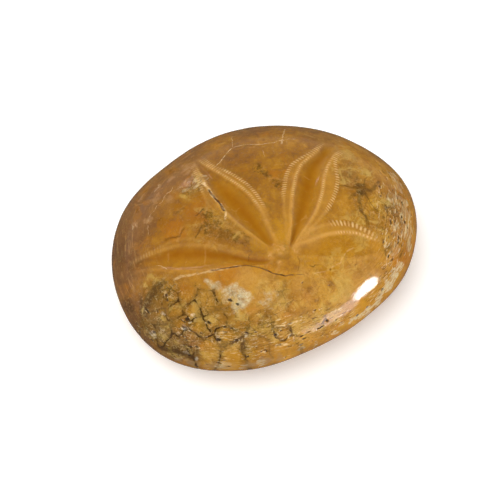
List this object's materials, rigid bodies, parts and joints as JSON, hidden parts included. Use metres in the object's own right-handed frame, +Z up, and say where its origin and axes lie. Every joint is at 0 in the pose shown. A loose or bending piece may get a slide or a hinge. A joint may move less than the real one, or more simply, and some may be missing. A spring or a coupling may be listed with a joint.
{
  "type": "fossil sea urchin",
  "caption": "Polished fossil sea urchin: a low stone dome with a petal-shaped star sunk into its top and a flat base that it lies on.",
  "frame": {"origin": "middle of the flat base, on the surface that the fossil lies on", "axes": "+X along the long side, -Y the front, nearest the apex of the petals, +Z up out of the domed upper side"},
  "size_m": [0.0758, 0.0611, 0.0273],
  "materials": {
    "calcite": "polished honey-coloured calcite with darker and paler patches"
  },
  "bodies": {
    "root": {"fossil_urchin": "calcite"}
  },
  "joints": []
}
